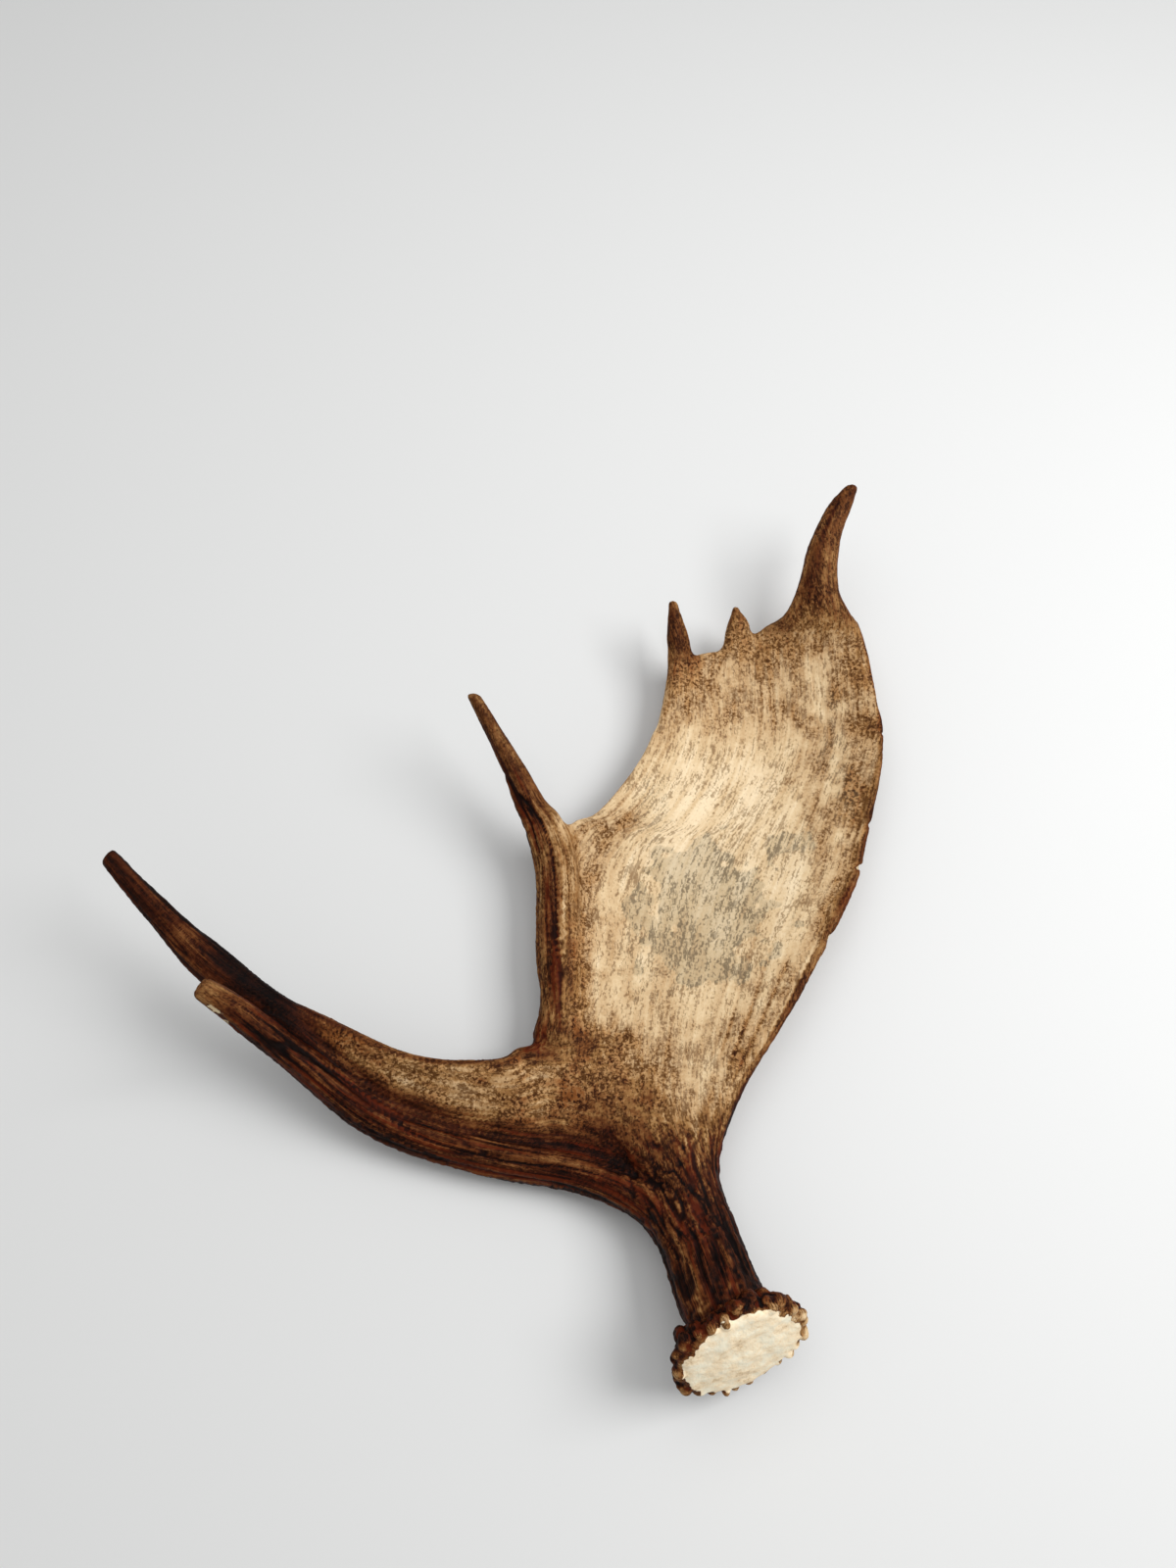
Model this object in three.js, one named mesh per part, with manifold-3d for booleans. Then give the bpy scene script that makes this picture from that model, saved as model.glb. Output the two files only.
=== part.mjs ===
// A shed moose antler lying on its convex back, +Z up, in millimetres.
//
// Each limb is a closed ribbon carried along two margins, left and right as seen from above while
// looking along the growth. A station of a limb holds a point of each margin, half the limb's
// thickness midway between them, and how far the middle sinks below the margins. All limbs and the
// burr are joined into one body of bone, which is then sawn at its main forks, with a narrow kerf,
// into the named pieces.
import * as THREE from "three";
import { ParametricGeometry } from "three/addons/geometries/ParametricGeometry.js";
import { mergeVertices } from "three/addons/utils/BufferGeometryUtils.js";
import Module from "manifold-3d";

const KERF = 0.3; // gap left by each cut between two pieces
const BLUNTNESS = 0.6; // of a flat section, which keeps its thickness nearly up to its margins
const RINGS_PER_STATION = 2;
const CAP_RINGS = 3; // rings that round each end of a limb
const REACH = 900; // side of a cutting block, longer than the antler
const MERGE_DISTANCE = 1e-3;

// Burr (coronet): a collar round the foot of the beam, and the pale face where the antler was shed.
const BURR_RADIUS = 41;
const FACE_RADIUS = 34;
const FACE_BULGE = 4; // the shed face is slightly convex
const BURR_SIDES = 36;
const BURR_CENTRE = new THREE.Vector3(127.6, -259, 55.3);
const FACE_AZIMUTH = THREE.MathUtils.degToRad(-68); // from +X towards +Y
const FACE_RISE = THREE.MathUtils.degToRad(32); // above level

const station = (left, right, half, hollow = 0) => ({ left, right, half, hollow });

// Beam and main palm, from the burr to the row of top points.
const TRUNK = {
  sides: 28,
  cap: 6,
  stations: [
    station([100, -249, 50], [143.5, -231, 52], 20),
    station([92.5, -230, 43], [138.5, -217, 44], 20),
    station([85, -205, 34], [131, -195, 35], 19.5),
    station([71, -166, 28], [122, -163, 29], 18),
    station([38, -118, 28], [136.5, -121, 33], 12, 3),
    station([15, -59, 38], [172, -67, 39], 9, 15),
    station([12, 15, 40], [215, 7, 38], 7, 24),
    station([29, 49, 42], [227.5, 42, 37], 7, 24),
    station([51, 61, 38], [237, 74, 38], 7, 24),
    station([77, 97, 34], [244, 105, 39], 7, 23),
    station([91, 128, 34], [245, 134, 41], 7, 20),
    station([101, 173, 38], [235, 201, 48], 6, 14),
  ],
};

// The three points along the top of the main palm.
const LEFT_POINT = {
  sides: 14,
  cap: 3,
  stations: [
    station([93, 130, 34], [128, 146, 25], 6, 1),
    station([99, 155, 37], [122, 168, 31], 6.5, 1),
    station([100, 180, 42], [117, 187, 40], 6),
    station([101, 212, 51], [108, 212, 51], 4),
  ],
};
const MIDDLE_POINT = {
  sides: 12,
  cap: 3,
  stations: [
    station([130, 160, 26], [170, 172, 26], 5),
    station([140, 191, 35], [160, 202, 36], 5.5),
    station([146, 211, 44], [152, 212, 44], 3.5),
  ],
};
const BIG_POINT = {
  sides: 18,
  cap: 3,
  stations: [
    station([155, 150, 22], [243, 143, 43], 6.5, 7),
    station([160, 194, 32], [239, 176, 47], 7.5, 4),
    station([182, 207, 43], [232, 196, 52], 8.5, 1),
    station([192, 225, 54], [221, 220, 56], 9),
    station([200, 251, 65], [222, 253, 66], 8),
    station([213, 276, 73], [231, 278, 74], 6.5),
    station([225, 291, 77], [235, 290, 78], 4),
  ],
};

// The stem along the left margin of the main palm, and the long tine that it becomes.
const SIDE_TINE = {
  sides: 16,
  cap: 3,
  stations: [
    station([10.5, -88, 33], [42, -92, 30], 9),
    station([16, -55, 38], [39, -50, 37], 10),
    station([12, 8, 41], [39, 17, 39], 10),
    station([6, 38, 46], [31, 50, 45], 9),
    station([-2, 59, 52], [17, 65, 51], 8.5),
    station([-10, 79, 61], [5, 83, 61], 7.5),
    station([-33, 123, 82], [-24, 123, 82], 4.5),
  ],
};

// The thin web of the brow palm and the longer brow tine, which carries on from it.
const BROW_WEB = {
  sides: 22,
  cap: 3,
  stations: [
    station([102, -185, 27], [60, -90, 29], 12),
    station([45, -166, 22], [9, -91, 35], 10, 3),
    station([13, -160, 20], [-10, -100.5, 42], 9, 4),
    station([-49, -146, 23], [-61, -98.5, 47], 7.5, 5),
    station([-105, -118, 36], [-116, -76, 53], 7.5, 4),
    station([-132, -92, 48], [-139, -65, 58], 8, 2),
    station([-187, -58, 64], [-174, -40, 68], 8),
    station([-219, -25, 77], [-204.5, -15.5, 80], 6.5),
    station([-245, 5, 92], [-237.5, 14.5, 94], 4.5),
  ],
};

// The thick rod along the lower side of the brow palm, and the shorter tine that it becomes.
const BROW_ROD = {
  sides: 18,
  cap: 3,
  stations: [
    station([90, -213, 38], [122, -203, 38], 18),
    station([71, -190, 27], [91, -172, 27], 18),
    station([38, -175, 22], [48, -152, 22], 15),
    station([-21.5, -164.5, 21], [-16, -140, 21], 13.5),
    station([-86, -144, 28], [-74, -122, 28], 12.5),
    station([-131, -111, 48], [-118, -95, 48], 11.5),
    station([-163, -87, 78], [-154, -72, 78], 8.5),
    station([-177, -76.5, 98], [-170, -64.5, 98], 5),
  ],
};

// Each saw cut: a point of the kerf and the level direction that it faces, towards the tips.
const BEAM_CUT = { at: [96, -172, 25], facing: [-0.4, 0.92] };
const PALM_CUT = { at: [50, -130, 25], facing: [0.8, 0.6] };
const SIDE_CUT = { at: [13, 52, 48], facing: [-0.47, 0.88], width: 40 };
const BROW_CUT = { at: [-150, -82, 58], facing: [-0.9, 0.44] };

const BONE_COLOURS = {
  beam: 0x4a2a17,
  main_palm: 0xc9a878,
  side_tine: 0x7a5030,
  brow_palm: 0x8a6238,
  upper_brow_tine: 0x5a3c24,
  lower_brow_tine: 0x6a4424,
};

const BONE_ROUGHNESS = 0.6;

const wasm = await Module();
wasm.setup();

function curveThrough(points) {
  return new THREE.CatmullRomCurve3(points.map((p) => new THREE.Vector3(...p)), false, "catmullrom", 0.5);
}

// A closed ribbon with a blunt lens section. Both ends are rounded by sections that shrink as a
// quarter circle.
function limbGeometry({ stations, sides, cap }) {
  const left = curveThrough(stations.map((s) => s.left));
  const right = curveThrough(stations.map((s) => s.right));
  const depth = curveThrough(stations.map((s) => [s.half, s.hollow, 0]));
  const bodyRings = RINGS_PER_STATION * (stations.length - 1);
  const rings = bodyRings + 2 * CAP_RINGS;

  const place = (around, along, target) => {
    const ring = along * rings;
    const before = Math.max(0, CAP_RINGS - ring) / CAP_RINGS;
    const after = Math.max(0, ring - CAP_RINGS - bodyRings) / CAP_RINGS;
    const t = THREE.MathUtils.clamp((ring - CAP_RINGS) / bodyRings, 0, 1);
    const shrink = Math.cos((Math.max(before, after) * Math.PI) / 2);
    const push = cap * (Math.sin((after * Math.PI) / 2) - Math.sin((before * Math.PI) / 2));
    const a = left.getPoint(t);
    const b = right.getPoint(t);
    const { x: half, y: hollow } = depth.getPoint(t);
    const across = b.clone().sub(a);
    const forward = left.getTangent(t).add(right.getTangent(t)).normalize();
    const up = across.clone().cross(forward).normalize();
    const angle = around * 2 * Math.PI;
    const side = Math.cos(angle);
    const level = Math.sin(angle);
    const roundness = Math.min((2 * half) / across.length(), 1);
    const power = THREE.MathUtils.lerp(BLUNTNESS, 1, roundness);
    const rise = Math.sign(level) * Math.abs(level) ** power * half;
    target.addVectors(a, b).multiplyScalar(0.5);
    target.addScaledVector(across, 0.5 * side * shrink);
    target.addScaledVector(up, rise * shrink - hollow * (1 - (side * shrink) ** 2));
    target.addScaledVector(forward, push);
  };
  return new ParametricGeometry(place, sides, rings);
}

// The burr turned about its own axis: the bulging face, the knobbed collar's envelope and the foot of
// the beam.
function burrGeometry() {
  const profile = [
    [0, -26],
    [22, -22],
    [32, -14],
    [BURR_RADIUS - 1, -10],
    [BURR_RADIUS, -5],
    [FACE_RADIUS + 2, -2],
    [FACE_RADIUS - 5, 1],
    [FACE_RADIUS / 2, FACE_BULGE - 1],
    [0, FACE_BULGE],
  ];
  const geometry = new THREE.LatheGeometry(profile.map(([r, h]) => new THREE.Vector2(r, h)), BURR_SIDES);
  const facing = new THREE.Vector3(
    Math.cos(FACE_RISE) * Math.cos(FACE_AZIMUTH),
    Math.cos(FACE_RISE) * Math.sin(FACE_AZIMUTH),
    Math.sin(FACE_RISE),
  );
  geometry.applyQuaternion(new THREE.Quaternion().setFromUnitVectors(new THREE.Vector3(0, 1, 0), facing));
  geometry.translate(BURR_CENTRE.x, BURR_CENTRE.y, BURR_CENTRE.z);
  return geometry;
}

// A block whose face lies on the cut, on its far side, moved by half a kerf in the direction given.
function blockBeyond({ at, facing, width = REACH }, shift) {
  const heading = Math.atan2(facing[1], facing[0]);
  const block = new THREE.BoxGeometry(REACH, width, REACH);
  block.translate(REACH / 2 + shift, 0, 0);
  block.rotateZ(heading);
  block.translate(...at);
  return solidOf(block);
}

// A closed solid from a geometry: shared vertices merged, collapsed triangles dropped, faces turned
// outwards.
function solidOf(geometry) {
  const bare = geometry.clone();
  bare.deleteAttribute("normal");
  bare.deleteAttribute("uv");
  const merged = mergeVertices(bare, MERGE_DISTANCE);
  const corners = [];
  for (let i = 0; i < merged.index.count; i += 3) {
    const [a, b, c] = [0, 1, 2].map((k) => merged.index.getX(i + k));
    if (a !== b && b !== c && c !== a) corners.push(a, b, c);
  }
  const build = (triVerts) =>
    new wasm.Manifold(
      new wasm.Mesh({ numProp: 3, vertProperties: merged.attributes.position.array, triVerts }),
    );
  const solid = build(new Uint32Array(corners));
  return solid.volume() > 0 ? solid : build(new Uint32Array(corners.reverse()));
}

function meshOf(name, solid) {
  const { numProp, vertProperties, triVerts } = solid.getMesh();
  const geometry = new THREE.BufferGeometry();
  geometry.setAttribute("position", new THREE.BufferAttribute(new Float32Array(vertProperties), numProp));
  geometry.setIndex(new THREE.BufferAttribute(new Uint32Array(triVerts), 1));
  geometry.computeVertexNormals();
  const material = new THREE.MeshStandardMaterial({
    color: BONE_COLOURS[name],
    roughness: BONE_ROUGHNESS,
    metalness: 0,
  });
  const mesh = new THREE.Mesh(geometry, material);
  mesh.name = name;
  return mesh;
}

// Keeps what lies beyond a cut, or what lies before it, half a kerf away from the cut.
const beyond = (solid, cut) => solid.intersect(blockBeyond(cut, KERF / 2));
const before = (solid, cut) => solid.subtract(blockBeyond(cut, -KERF / 2));

const web = solidOf(limbGeometry(BROW_WEB));
const rod = solidOf(limbGeometry(BROW_ROD));
const sideTine = solidOf(limbGeometry(SIDE_TINE));
const palm = [TRUNK, LEFT_POINT, MIDDLE_POINT, BIG_POINT]
  .map((limb) => solidOf(limbGeometry(limb)))
  .reduce((joined, next) => joined.add(next));
const antler = palm.add(sideTine).add(web).add(rod).add(solidOf(burrGeometry()));

const palms = beyond(antler, BEAM_CUT);
const browSide = before(palms, PALM_CUT);
const palmSide = beyond(palms, PALM_CUT);

const antlerGroup = new THREE.Group();
antlerGroup.add(
  meshOf("beam", before(antler, BEAM_CUT)),
  meshOf("main_palm", before(palmSide, SIDE_CUT)),
  meshOf("side_tine", beyond(palmSide, SIDE_CUT)),
  meshOf("brow_palm", before(browSide, BROW_CUT)),
  meshOf("upper_brow_tine", beyond(web, BROW_CUT)),
  meshOf("lower_brow_tine", beyond(rod, BROW_CUT)),
);

// The origin is under the middle of the antler's box, on the surface it rests on.
const box = new THREE.Box3().setFromObject(antlerGroup);
const middle = box.getCenter(new THREE.Vector3());
antlerGroup.position.set(-middle.x, -middle.y, -box.min.z);

export default antlerGroup;
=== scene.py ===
"""A shed moose antler lying on its convex back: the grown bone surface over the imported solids.

The limbs are closed ribbons carried along two margins. They and the burr's knobs are welded into one skin,
and its forks are filleted. Furrows, nicks and colour fields are then worked out for every point of it, and
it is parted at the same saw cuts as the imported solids: one piece to a solid, and three to the main palm.
"""

import math

import bpy
import numpy as np
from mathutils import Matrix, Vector
from mathutils.geometry import tessellate_polygon


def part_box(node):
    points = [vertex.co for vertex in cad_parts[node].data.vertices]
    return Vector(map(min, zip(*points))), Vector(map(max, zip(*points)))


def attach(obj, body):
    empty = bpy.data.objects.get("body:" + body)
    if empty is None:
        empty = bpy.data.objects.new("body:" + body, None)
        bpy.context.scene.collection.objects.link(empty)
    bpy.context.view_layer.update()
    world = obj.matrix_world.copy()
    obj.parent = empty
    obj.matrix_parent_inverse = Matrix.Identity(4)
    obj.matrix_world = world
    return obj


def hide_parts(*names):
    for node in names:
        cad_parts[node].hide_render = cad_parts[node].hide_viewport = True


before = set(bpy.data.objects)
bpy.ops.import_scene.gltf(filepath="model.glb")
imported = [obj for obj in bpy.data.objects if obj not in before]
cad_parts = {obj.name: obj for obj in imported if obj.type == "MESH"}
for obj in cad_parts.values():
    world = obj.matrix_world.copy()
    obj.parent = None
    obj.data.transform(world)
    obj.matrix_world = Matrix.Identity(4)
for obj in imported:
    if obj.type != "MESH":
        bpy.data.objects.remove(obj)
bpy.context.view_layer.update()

MM = 0.001
VOXEL = 0.9  # mm, the edge of the skin's quads
RNG = np.random.default_rng(7)

# ------------------------------------------------------------------------------------------------ limbs
# A station is (left margin, right margin, half thickness, hollow) in millimetres. Left and right are as seen
# from above, looking along the growth. The hollow is how far the middle is sunk below the margins.
LIMBS = {
    "trunk": [
        ((100, -249, 50), (143.5, -231, 52), 20, 0),
        ((92.5, -230, 43), (138.5, -217, 44), 20, 0),
        ((85, -205, 34), (131, -195, 35), 19.5, 0),
        ((71, -166, 28), (122, -163, 29), 18, 0),
        ((38, -118, 28), (136.5, -121, 33), 12, 3),
        ((15, -59, 38), (172, -67, 39), 9, 15),
        ((12, 15, 40), (215, 7, 38), 7, 24),
        ((29, 49, 42), (227.5, 42, 37), 7, 24),
        ((51, 61, 38), (237, 74, 38), 7, 24),
        ((77, 97, 34), (244, 105, 39), 7, 23),
        ((91, 128, 34), (245, 134, 41), 7, 20),
        ((101, 173, 38), (235, 201, 48), 6, 14),
    ],
    "left_point": [
        ((93, 130, 34), (128, 146, 25), 6, 1),
        ((99, 155, 37), (122, 168, 31), 6.5, 1),
        ((100, 180, 42), (117, 187, 40), 6, 0),
        ((101, 212, 51), (108, 212, 51), 4, 0),
    ],
    "middle_point": [
        ((130, 160, 26), (170, 172, 26), 5, 0),
        ((140, 191, 35), (160, 202, 36), 5.5, 0),
        ((146, 211, 44), (152, 212, 44), 3.5, 0),
    ],
    "big_point": [
        ((155, 150, 22), (243, 143, 43), 6.5, 7),
        ((160, 194, 32), (239, 176, 47), 7.5, 4),
        ((182, 207, 43), (232, 196, 52), 8.5, 1),
        ((192, 225, 54), (221, 220, 56), 9, 0),
        ((200, 251, 65), (222, 253, 66), 8, 0),
        ((213, 276, 73), (231, 278, 74), 6.5, 0),
        ((225, 291, 77), (235, 290, 78), 4, 0),
    ],
    "side_tine": [
        ((10.5, -88, 33), (42, -92, 30), 9, 0),
        ((16, -55, 38), (39, -50, 37), 10, 0),
        ((12, 8, 41), (39, 17, 39), 10, 0),
        ((6, 38, 46), (31, 50, 45), 9, 0),
        ((-2, 59, 52), (17, 65, 51), 8.5, 0),
        ((-10, 79, 61), (5, 83, 61), 7.5, 0),
        ((-33, 123, 82), (-24, 123, 82), 4.5, 0),
    ],
    "web": [
        ((102, -185, 27), (60, -90, 29), 12, 0),
        ((45, -166, 22), (9, -91, 35), 10, 3),
        ((13, -160, 20), (-10, -100.5, 42), 9, 4),
        ((-49, -146, 23), (-61, -98.5, 47), 7.5, 5),
        ((-105, -118, 36), (-116, -76, 53), 7.5, 4),
        ((-132, -92, 48), (-139, -65, 58), 8, 2),
        ((-187, -58, 64), (-174, -40, 68), 8, 0),
        ((-219, -25, 77), (-204.5, -15.5, 80), 6.5, 0),
        ((-245, 5, 92), (-237.5, 14.5, 94), 4.5, 0),
    ],
    "rod": [
        ((90, -213, 38), (122, -203, 38), 18, 0),
        ((71, -190, 27), (91, -172, 27), 18, 0),
        ((38, -175, 22), (48, -152, 22), 15, 0),
        ((-21.5, -164.5, 21), (-16, -140, 21), 13.5, 0),
        ((-86, -144, 28), (-74, -122, 28), 12.5, 0),
        ((-131, -111, 48), (-118, -95, 48), 11.5, 0),
        ((-163, -87, 78), (-154, -72, 78), 8.5, 0),
        ((-177, -76.5, 98), (-170, -64.5, 98), 5, 0),
    ],
}
END_ROUNDING = {"trunk": 6}  # mm that a limb's rounded ends stand past its last stations
TIP_ROUNDING = 3
BLUNTNESS = 0.6  # of a flat section, which keeps its thickness nearly up to its margins; a round one has 1

# Burr: collar, pearls and the shed face.
BURR_CENTRE = np.array((127.6, -259.0, 55.3))
BURR_RADIUS = 41.5
# Waves round the rim: how many, share of the radius, and phase.
RIM_WAVES = ((2, 0.05, 1.57), (3, 0.02, 0.4), (5, 0.02, 2.1), (8, 0.012, 4.0))
FACE_AZIMUTH = math.radians(-68)
FACE_RISE = math.radians(32)
FACE_NORMAL = np.array((
    math.cos(FACE_RISE) * math.cos(FACE_AZIMUTH),
    math.cos(FACE_RISE) * math.sin(FACE_AZIMUTH),
    math.sin(FACE_RISE),
))
# Radius, and height along the face's axis: the neck, the collar, the face's edge and the bulge.
BURR_PROFILE = (
    (22, -20),
    (27, -13),
    (31.5, -9.5),
    (35, -7),
    (35.5, -5),
    (35.2, -2.6),
    (34, -0.8),
    (31, 0.6),
    (20, 2.0),
    (8, 2.6),
)
NECK_POLE = -24  # height at which the profile closes on the axis, inside the beam
FACE_POLE = 3.5  # and in the middle of the face
# Rows of knobs: radius, height along the axis, how many, and their size.
PEARL_ROWS = (
    (35.6, -3.2, 26, 3.4),
    (34.8, -6.4, 21, 4.4),
    (31.5, -9.8, 17, 4.4),
    (27.5, -12.8, 14, 3.4),
)

# Saw cuts: a point, and the level direction towards the tips.
BEAM_CUT = ((96, -172), (-0.4, 0.92))
PALM_CUT = ((50, -130), (0.8, 0.6))
SIDE_CUT = ((13, 52), (-0.47, 0.88))
SIDE_CUT_WIDTH = 40  # the cut spans the stem and stops short of the palm
BROW_CUT = ((-150, -82), (-0.9, 0.44))
PALM_PARTINGS = (-20.0, 75.0)  # the main palm is drawn as three pieces, parted at these y


def unit(vectors):
    """Each row divided by its length."""
    return vectors / np.linalg.norm(vectors, axis=-1, keepdims=True)


def smooth(low, high, x):
    """0 below low, 1 above high, and a cubic S between them; a low above high turns it round."""
    t = np.clip((x - low) / (high - low), 0, 1)
    return t * t * (3 - 2 * t)


def spline(rows, t):
    """Points and slopes at t in stations of the uniform Catmull-Rom curve through rows, ends reflected."""
    rows = np.asarray(rows, float)
    rows = np.vstack([2 * rows[0] - rows[1], rows, 2 * rows[-1] - rows[-2]])
    cell = np.clip(np.floor(t).astype(int), 0, len(rows) - 4)
    x = (t - cell)[:, None]
    p0, p1, p2, p3 = (rows[cell + k] for k in range(4))
    m1, m2 = (p2 - p0) / 2, (p3 - p1) / 2
    a, b = 2 * (p1 - p2) + m1 + m2, 3 * (p2 - p1) - 2 * m1 - m2
    return ((a * x + b) * x + m1) * x + p1, (3 * a * x + 2 * b) * x + m1


def limb_frame(name, t):
    """A limb at t in stations: middle, vector across, forward, up, half thickness and hollow."""
    stations = LIMBS[name]
    left, left_slope = spline([s[0] for s in stations], t)
    right, right_slope = spline([s[1] for s in stations], t)
    depth, _ = spline([s[2:4] for s in stations], t)
    across = right - left
    forward = unit(unit(left_slope) + unit(right_slope))
    up = unit(np.cross(across, forward))
    return (left + right) / 2, across, forward, up, depth[:, 0], depth[:, 1]


def grid_faces(rings, sides):
    """Quads of a grid of rings that close on themselves, and a fan of triangles to a pole at each end."""
    ring, side = np.meshgrid(np.arange(rings - 1), np.arange(sides), indexing="ij")
    after = (side + 1) % sides
    low, high = ring * sides, (ring + 1) * sides
    quads = np.stack([low + side, low + after, high + after, high + side], -1)
    around = np.arange(sides)
    first, last = rings * sides, rings * sides + 1
    start = np.stack([(around + 1) % sides, around, np.full(sides, first)], -1)
    end = np.stack([around, (around + 1) % sides], -1) + (rings - 1) * sides
    end = np.column_stack([end, np.full(sides, last)])
    return quads.reshape(-1, 4).tolist() + start.tolist() + end.tolist()


def limb_surface(name, per_station=12, sides=72, cap_rings=8):
    """A blunt lens carried along the limb: side = cos(angle), rise = sin(angle) to a power of at most 1.

    The middle sinks by hollow * (1 - side^2), and each end closes as a quarter circle of shrinking sections.
    """
    cap = END_ROUNDING.get(name, TIP_ROUNDING)
    count = len(LIMBS[name]) - 1
    turn = np.linspace(0, np.pi / 2, cap_rings, endpoint=False)[:0:-1]
    body = np.linspace(0, count, per_station * count + 1)
    t = np.concatenate([np.zeros(len(turn)), body, np.full(len(turn), count)])
    shrink = np.concatenate([np.cos(turn), np.ones(len(body)), np.cos(turn[::-1])])[:, None]
    push = cap * np.concatenate([-np.sin(turn), np.zeros(len(body)), np.sin(turn[::-1])])
    middle, across, forward, up, half, hollow = limb_frame(name, t)
    angle = np.linspace(0, 2 * np.pi, sides, endpoint=False)[None]
    side, level = np.cos(angle), np.sin(angle)
    roundness = np.minimum(2 * half / np.linalg.norm(across, axis=1), 1)[:, None]
    power = BLUNTNESS + (1 - BLUNTNESS) * roundness
    rise = np.sign(level) * np.abs(level) ** power * half[:, None]
    lift = rise * shrink - hollow[:, None] * (1 - (side * shrink) ** 2)
    points = (middle + forward * push[:, None])[:, None]
    points = points + across[:, None] * (0.5 * side * shrink)[..., None] + up[:, None] * lift[..., None]
    poles = [middle[i] + forward[i] * cap * sign - up[i] * hollow[i] for i, sign in ((0, -1), (-1, 1))]
    return np.vstack([points.reshape(-1, 3), poles]), grid_faces(len(t), angle.size)


def burr_axes():
    """Two directions in the plane of the shed face and its outward normal."""
    level = unit(np.cross((0.0, 0.0, 1.0), FACE_NORMAL))
    return level, np.cross(FACE_NORMAL, level), FACE_NORMAL


def rim_swell(angle):
    """The share by which the rim stands out or in, a sum of sines round the axis."""
    return sum(size * np.sin(count * angle + phase) for count, size, phase in RIM_WAVES)


def burr_surface(sides=96):
    """The collar and bulging face: a profile of radius and height turned about the face's axis.

    The radius is multiplied by 1 + rim_swell(angle), which fades out from the rim to the middle.
    """
    profile = np.array(BURR_PROFILE)
    e1, e2, axis = burr_axes()
    angle = np.linspace(0, 2 * np.pi, sides, endpoint=False)
    spoke = np.cos(angle)[:, None] * e1 + np.sin(angle)[:, None] * e2
    radius = profile[:, :1] * (1 + rim_swell(angle) * smooth(15, 34, profile[:, :1]))
    points = BURR_CENTRE + radius[..., None] * spoke + profile[:, 1:, None] * axis
    poles = [BURR_CENTRE + NECK_POLE * axis, BURR_CENTRE + FACE_POLE * axis]
    return np.vstack([points.reshape(-1, 3), poles]), grid_faces(len(profile), sides)


def pearl_surface(centre, radii, axes, sides=16, rings=9):
    """An ellipsoid of the three radii along the three axes."""
    fall = np.linspace(0, np.pi, rings + 2)[1:-1, None]
    angle = np.linspace(0, 2 * np.pi, sides, endpoint=False)[None]
    ball = np.stack([
        np.sin(fall) * np.cos(angle),
        np.sin(fall) * np.sin(angle),
        -np.cos(fall) * np.ones_like(angle),
    ], -1) * radii
    poles = np.array([(0, 0, -radii[2]), (0, 0, radii[2])])
    local = np.vstack([ball.reshape(-1, 3), poles])
    return centre + local @ np.array(axes), grid_faces(rings, sides)


def pearls():
    """Staggered rows of knobs round the collar, each jittered in place, size and shape."""
    e1, e2, axis = burr_axes()
    made = []
    for row, (radius, height, count, size) in enumerate(PEARL_ROWS):
        for i in range(count):
            angle = 2 * math.pi * (i + 0.5 * row + RNG.uniform(-0.4, 0.4)) / count
            spoke = math.cos(angle) * e1 + math.sin(angle) * e2
            tangent = np.cross(axis, spoke)
            grown = size * RNG.uniform(0.6, 1.25)
            out = min(radius * (1 + rim_swell(angle)) + RNG.uniform(-1.5, 1.5), BURR_RADIUS - grown)
            centre = BURR_CENTRE + spoke * out + axis * (height + RNG.uniform(-1.8, 1.2))
            radii = grown * np.array((1.0, RNG.uniform(0.7, 1.1), RNG.uniform(0.8, 1.4)))
            made.append(pearl_surface(centre, radii, (spoke, tangent, axis)))
    return made


# ------------------------------------------------------------------------------------------------ skin
def joined(surfaces):
    """All surfaces as one list of points and one of faces."""
    offsets = np.cumsum([0] + [len(points) for points, _ in surfaces])
    faces = []
    for (_, own), offset in zip(surfaces, offsets):
        faces += [[corner + offset for corner in face] for face in own]
    return np.vstack([points for points, _ in surfaces]), faces


def welded(points, faces):
    """The outer skin of overlapping closed surfaces, as points, quads and edges on a voxel grid."""
    rough = bpy.data.meshes.new("rough")
    rough.from_pydata((points * MM).tolist(), [], faces)
    body = bpy.data.objects.new("rough", rough)
    bpy.context.scene.collection.objects.link(body)
    remesh = body.modifiers.new("weld", "REMESH")
    remesh.mode = "VOXEL"
    remesh.voxel_size = VOXEL * MM
    skin = body.evaluated_get(bpy.context.evaluated_depsgraph_get()).to_mesh()
    spots = np.empty(len(skin.vertices) * 3, np.float32)
    skin.vertices.foreach_get("co", spots)
    corners = np.empty(len(skin.loops), np.int32)
    skin.loops.foreach_get("vertex_index", corners)
    edges = np.empty(len(skin.edges) * 2, np.int32)
    skin.edges.foreach_get("vertices", edges)
    assert len(corners) == 4 * len(skin.polygons)
    bpy.data.objects.remove(body)
    bpy.data.meshes.remove(rough)
    return spots.reshape(-1, 3).astype(float) / MM, corners.reshape(-1, 4), edges.reshape(-1, 2)


def neighbour_mean(values, edges):
    """The mean of each point's neighbours along the edges."""
    ends = np.concatenate([edges[:, 0], edges[:, 1]])
    others = np.concatenate([edges[:, 1], edges[:, 0]])
    count = np.bincount(ends, minlength=len(values))
    columns = values.reshape(len(values), -1)
    total = [np.bincount(ends, weights=column[others], minlength=len(values)) for column in columns.T]
    return (np.stack(total, -1) / np.maximum(count, 1)[:, None]).reshape(values.shape)


def relaxed(points, edges, rounds, share=1.0):
    """Each point moved towards its neighbours' mean, by half of its own share, a number of times."""
    share = np.broadcast_to(np.asarray(share, float), len(points))[:, None]
    for _ in range(rounds):
        points = points + 0.5 * share * (neighbour_mean(points, edges) - points)
    return points


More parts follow.
